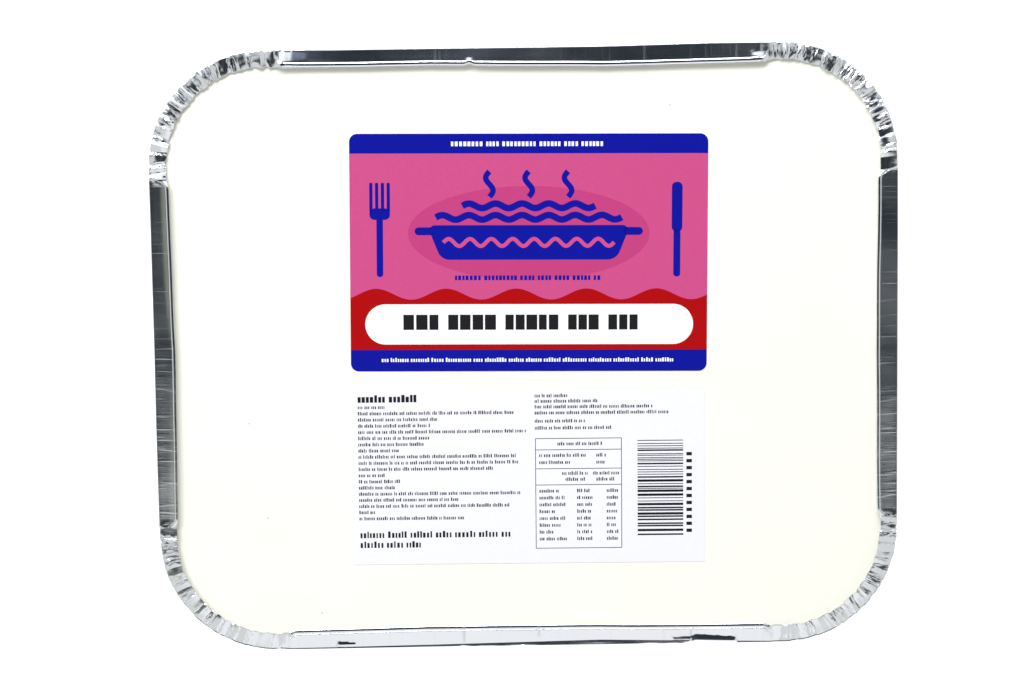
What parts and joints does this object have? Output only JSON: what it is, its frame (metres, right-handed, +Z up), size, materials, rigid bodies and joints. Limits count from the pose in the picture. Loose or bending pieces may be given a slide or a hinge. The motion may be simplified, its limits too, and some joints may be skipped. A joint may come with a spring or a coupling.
{
  "type": "foil tray meal",
  "caption": "Ready meal sealed in a rectangular aluminium foil tray, with a white board lid held under the folded, pleated rim and paper labels on the lid.",
  "frame": {"origin": "middle of the footprint, on the surface the tray stands on", "axes": "+X along the tray's long side, to the right of the labels; +Y towards the top of the labels; +Z up, out of the lid"},
  "size_m": [0.324, 0.264, 0.0532],
  "materials": {
    "foil": "bright rolled foil, creased in the pleats",
    "board": "uncoated white board",
    "colour_label": "satin printed paper",
    "white_label": "thermal label paper"
  },
  "bodies": {
    "root": {"tray": "foil", "lid": "board", "colour_label": "colour_label", "white_label": "white_label"}
  },
  "joints": []
}
